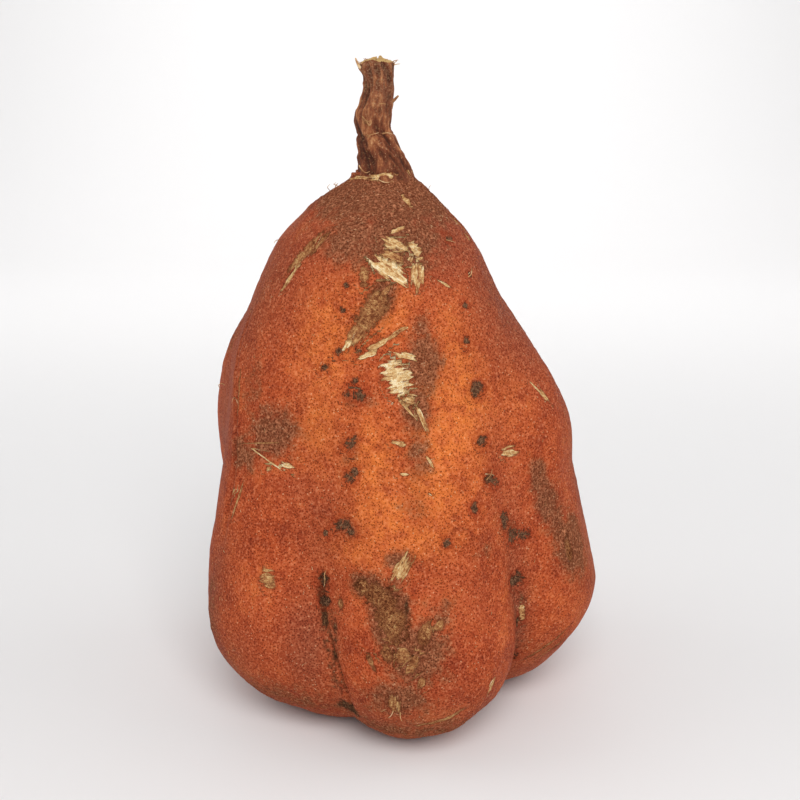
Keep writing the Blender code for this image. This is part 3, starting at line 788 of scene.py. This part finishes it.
def bundle(name, threads):
    """One mesh in metres of many threads, each closed by a fan at either end."""
    points, tris, quads, count = [], [], [], 0
    for rings, low_end, high_end in threads:
        pieces, sides = rings.shape[:2]
        index = count + np.arange(pieces * sides).reshape(pieces, sides)
        far = np.roll(index, -1, 1)
        points += [rings.reshape(-1, 3), low_end[None], high_end[None]]
        quads.append(np.stack([index[:-1], far[:-1], far[1:], index[1:]], -1).reshape(-1, 4))
        low = count + pieces * sides
        tris.append(np.stack([far[0], index[0], np.full(sides, low)], -1))
        tris.append(np.stack([index[-1], far[-1], np.full(sides, low + 1)], -1))
        count = low + 2
    mesh = bpy.data.meshes.new(name)
    faces = np.concatenate(quads).tolist() + np.concatenate(tris).tolist()
    mesh.from_pydata((np.concatenate(points) * MILLIMETRE).tolist(), [], faces)
    mesh.polygons.foreach_set("use_smooth", [True] * len(mesh.polygons))
    piece = bpy.data.objects.new(name, mesh)
    bpy.context.scene.collection.objects.link(piece)
    return piece


# Side roots and hairs on the skin: bearing, height, radius, then the line they follow as
# (right, up, out) in mm.
ROOTLETS = [
    (-84, 154, 0.16, [(0, 0, -0.3), (-0.4, 0.6, 0.8), (-1.4, 0.2, 1.6), (-2.0, 1.0, 1.4)]),
    (-86, 153.4, 0.20, [(0, 0, -0.3), (0.2, 0.9, 0.9), (-0.7, 2.0, 1.0)]),
    (-84, 153, 0.14, [(0, 0, -0.3), (-0.2, -0.3, 1.4), (0.6, -0.2, 2.4), (0.9, 0.9, 2.6)]),
    (83, 152.5, 0.14, [(0, 0, -0.3), (0.2, 0.3, 0.7), (0.2, 1.0, 1.4), (0.2, 1.1, 2.4)]),
    (-85, 139, 0.15, [(0, 0, -0.3), (0, 0.6, 0.7), (0, -0.3, 1.3), (0, -0.9, 1.2)]),
    (-93, 94.5, 0.18, [(0, 0, -0.3), (0, 1.0, 1.0), (0, 0.4, 2.0), (0, -0.8, 1.4)]),
    (-70, 95, 0.17, [(3.6, -0.6, -0.2), (1.4, 0.3, 0.5), (-1.6, 1.3, 0.5), (-3.6, 0.6, 0.4),
                     (-4.4, -0.6, 0.2)]),
    (-68, 97, 0.13, [(2.6, 0.4, -0.2), (0.4, 0.0, 0.5), (-2.2, 0.8, 0.5), (-4.2, 0.2, 0.3)]),
    (43, 132, 0.24, [(-2.2, -0.8, -0.2), (-0.6, -0.5, 0.4), (0.9, 0.1, 0.9), (1.9, 1.8, 1.1)]),
    (43.5, 131.6, 0.14, [(-2.6, -0.2, -0.2), (-0.4, 0.3, 0.5), (1.2, 0.9, 0.6)]),
    (34, 123, 0.13, [(-0.6, 1.8, -0.1), (0.8, 0.2, 0.3), (2.6, -1.6, 0.2)]),
    (34.5, 122, 0.12, [(2.4, 1.6, 0.0), (1.0, 0.0, 0.4), (-0.8, -0.4, 0.1)]),
    (33.6, 78.8, 0.14, [(-1.4, -0.8, 0.1), (-0.2, 0.4, 0.7), (0.8, 1.8, 0.6)]),
    (33.0, 79.2, 0.12, [(-1.6, 0.9, 0.1), (0.2, 0.5, 0.7), (1.4, -0.2, 0.4)]),
    (-28.6, 50.6, 0.16, [(0.4, 3.6, -0.1), (0.0, 2.0, 0.7), (0.3, 0.2, 0.8), (-0.3, -1.8, 0.3)]),
    (26, 23.5, 0.2, [(-0.4, -1.6, 0.0), (-0.6, 0.2, 0.6), (0.2, 1.4, 0.8), (1.2, 1.5, 0.5)]),
    (-3.6, 18.4, 0.16, [(0, 0, -0.2), (-0.4, -0.9, 0.7), (-1.2, -1.8, 1.0)]),
    (-1.6, 18.2, 0.18, [(0, 0, -0.2), (0.2, -1.2, 0.8), (0.6, -2.4, 0.9)]),
    (-5.4, 18.9, 0.14, [(0, 0, -0.2), (-0.8, -0.2, 0.5), (-1.8, -0.7, 0.4)]),
    (38, 141.2, 0.13, [(-1.4, 0.4, 0.0), (0.2, -0.5, 0.4), (1.6, -0.9, 0.2)]),
    (-34, 156.4, 0.17, [(-1.6, 0.9, 0.2), (-0.6, -0.4, 1.0), (0.6, -0.5, 0.9), (1.8, 0.3, 0.3)]),
    (160, 134, 0.15, [(0, 0, -0.3), (0.6, 0.8, 1.0), (1.8, 0.6, 1.6), (2.4, -0.4, 1.4)]),
    (124, 88, 0.16, [(-1.8, 0.4, 0.0), (0, 0, 0.8), (1.6, 0.8, 1.0), (2.4, 2.0, 0.5)]),
    (-150, 70, 0.15, [(0, 0, -0.3), (0.8, 0.8, 1.0), (0.2, 2.0, 1.4)]),
    (98, 74, 0.14, [(0, 0, -0.3), (-0.4, 0.4, 1.2), (0.4, 1.4, 1.8)]),
]
threads = []
for bearing, height, radius, steps in ROOTLETS:
    threads.append(thread(*on_skin(bearing, height), steps, radius))

# Loose fibres in the paler torn places, lying along them, and short dry ones all over.
SHORT_FIBRES, SPLINTERS = 260, 70
rng = np.random.default_rng(41)
for bearing, height, half_long, half_wide, tilt, pallor in SCRAPES:
    centre, right, up, out = on_skin(bearing, height)
    c, s = np.cos(np.radians(tilt)), np.sin(np.radians(tilt))
    along, across = c * right + s * up, c * up - s * right
    for _ in range(int(0.5 + 3.2 * half_wide * max(pallor - 0.45, 0) * half_long ** 0.5)):
        a, b = rng.uniform(-1.1, 0.7) * half_long, rng.uniform(-0.95, 0.95) * half_wide
        long = rng.uniform(0.5, 1.0) * min(half_long, 2.4)
        lift = rng.uniform(0.1, 0.35)
        threads.append(thread(centre + a * along + b * across - 0.25 * out, along, across,
                              out, [(0, 0, 0), (0.5 * long, rng.normal() * 0.2, lift * 0.8),
                                    (long, rng.normal() * 0.4, lift)],
                              rng.uniform(0.05, 0.10), sides=5, pieces=7))
spots = np.argwhere((skin_height > 6) & (skin_height < 157))
for spot in spots[rng.choice(len(spots), SHORT_FIBRES, replace=False)]:
    out = skin_out[tuple(spot)]
    right = np.cross((0, 0, 1), out)
    right /= np.linalg.norm(right)
    lean = rng.uniform(0, np.pi)
    along = np.cos(lean) * right + np.sin(lean) * np.cross(out, right)
    long = rng.uniform(0.35, 1.25)
    threads.append(thread(skin_mm[tuple(spot)] - 0.02 * out, along, np.cross(out, along), out,
                          [(0, 0, 0), (0.5 * long, rng.normal() * 0.12, 0.08), (long, -0.1, 0)],
                          rng.uniform(0.05, 0.11), sides=5, pieces=6))
rootlets = bundle("rootlets", threads)

# Dried root fibre: straw to tan in blotches, dull.
fibre_material, tree = bare_material("dried_root_fibre")
place = add(tree, "TexCoord", out="Object")
tint = add(tree, "TexNoise", named={"Vector": place, "Scale": MM / 2.4, "Detail": 3.0})
colour = add(tree, "ValToRGB", tint, ramp=[(0.3, "#7d4c2c"), (0.5, "#b98a59"), (0.68, "#dfc195")])
shader = add(tree, "BsdfPrincipled", colour, named={"Roughness": 0.8, "Specular IOR Level": 0.3})
add(tree, "OutputMaterial", shader)
rootlets.data.materials.append(fibre_material)
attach(rootlets, "root")

# The stalk's own threads: a thorn and splinters at the broken end, a stub of a side shoot
# and loose strands of bark.
level_right, level_up, level_out = np.eye(3)[0], np.eye(3)[2], -np.eye(3)[1]
STALK_THREADS = [  # x, y, height, radius, steps
    (-11.8, -1.0, 187.4, 0.55, [(0, -0.6, 0), (-0.9, 0.4, 0), (-1.5, 1.6, 0), (-1.9, 2.6, 0)]),
    (-4.2, -0.6, 178.0, 0.62, [(-0.6, -0.5, 0), (0.8, 0.3, 0), (1.9, 1.3, 0), (2.5, 1.9, 0)]),
    (-11.2, -4.4, 173.5, 0.20, [(-0.6, 0.8, 0), (0.3, -0.2, 0.8), (1.4, -1.6, 0.9),
                                (2.0, -0.6, 0.6), (1.6, 0.6, 0.3)]),
    (-10.0, -4.4, 172.8, 0.16, [(-1.2, -0.3, 0), (0, 0.2, 0.7), (1.2, 0.4, 0.2)]),
    (-9.0, -5.4, 169.4, 0.16, [(-1.6, -0.3, 0), (0, 0.1, 0.5), (1.8, 0.5, 0)]),
    (-5.0, -5.2, 169.6, 0.20, [(-1.2, 0, 0), (0.2, 0.3, 0.5), (1.6, -0.1, 0.2)]),
    (-6.2, -5.2, 177.6, 0.18, [(-0.6, 0.1, 0), (0.3, 0.2, 0.4), (1.0, 0, 0)]),
    (-12.0, -5.6, 159.8, 0.2, [(-0.8, 1.2, 0), (0, 0, 0.7), (1.2, -0.8, 0.7), (2.2, -0.5, 0)]),
]
stalk_threads = [thread(np.array([x, y, z]), level_right, level_up, level_out, steps, radius)
                 for x, y, z, radius, steps in STALK_THREADS]
for _ in range(SPLINTERS):      # of bark and pith, over the broken end
    angle, inside = rng.uniform(0, 2 * np.pi), rng.uniform(0.1, 0.98)
    foot = np.array([BROKEN_END[0] + 4.5 * inside * np.cos(angle),
                     BROKEN_END[1] + 4.5 * inside * np.sin(angle), HEIGHT - 1.5 - inside ** 4])
    tip = (rng.normal() * 1.1, rng.uniform(0.7, 1.7), rng.normal() * 1.1)
    stalk_threads.append(thread(foot, level_right, level_up, level_out,
                                [(0, 0, 0), (0.5 * tip[0], 0.8 * tip[1], 0.4 * tip[2]), tip],
                                rng.uniform(0.08, 0.22), taper=0.4, sides=5, pieces=6))
splinters = bundle("stalk_splinters", stalk_threads)
splinters.data.materials.append(fibre_material)
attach(splinters, "root")


# ------------------------------
# The sweep, the camera and the light: a pale paper floor that curves up behind, a camera
# looking slightly down, and large soft lights.
# ------------------------------
across = np.linspace(-2600, 2600, 3)
bend = np.linspace(0, np.pi / 2, 24)
profile = np.concatenate([[(-1600, 0)],
                          np.stack([900 + 700 * np.sin(bend), 700 - 700 * np.cos(bend)], -1),
                          [(1600, 2600)]])
sweep_mm = np.stack(np.broadcast_arrays(across[None, :], profile[:, :1], profile[:, 1:]), -1)
sweep = grid_mesh("sweep", sweep_mm, closed=False)
paper = bpy.data.materials.new("matt_white_paper")
paper.use_nodes = True
paper.node_tree.nodes["Principled BSDF"].inputs["Base Color"].default_value = srgb("#e9e8e8")
paper.node_tree.nodes["Principled BSDF"].inputs["Roughness"].default_value = 0.9
sweep.data.materials.append(paper)

CAMERA_PLACE = (-0.0013, -0.3295, 0.180)    # in metres
CAMERA_DIP = 15.07      # degrees below level
camera_data = bpy.data.cameras.new("camera")
camera_data.sensor_width = 36
camera_data.lens = 50.94
camera = bpy.data.objects.new("camera", camera_data)
camera.location = CAMERA_PLACE
camera.rotation_euler = (np.radians(90 - CAMERA_DIP), 0, 0)
bpy.context.scene.collection.objects.link(camera)
bpy.context.scene.camera = camera

LIGHTS = [  # name, place, what it points at, size, power in watts
    ("front_softbox", (0.12, -0.85, 0.85), (0, 0, 0.08), 0.7, 9.0),
    ("left_softbox", (-1.0, 0.0, 0.8), (0, 0, 0.08), 0.8, 2.2),
    ("right_softbox", (1.0, 0.0, 0.8), (0, 0, 0.08), 0.8, 2.2),
    ("backdrop_light", (0.0, 0.85, 0.93), (0, 1.5, 0.30), 1.2, 7.0)]
for name, spot, target, size, power in LIGHTS:
    lamp = bpy.data.lights.new(name, "AREA")
    lamp.size, lamp.energy = size, power
    softbox = bpy.data.objects.new(name, lamp)
    softbox.matrix_world = (Matrix.Translation(spot) @ (Vector(target) - Vector(spot))
                            .to_track_quat("-Z", "Y").to_matrix().to_4x4())
    bpy.context.scene.collection.objects.link(softbox)
sky = bpy.data.worlds.new("studio")
sky.use_nodes = True
sky.node_tree.nodes["Background"].inputs["Color"].default_value = (1, 1, 1, 1)
sky.node_tree.nodes["Background"].inputs["Strength"].default_value = 0.46
bpy.context.scene.world = sky
bpy.context.scene.view_settings.view_transform = "Standard"
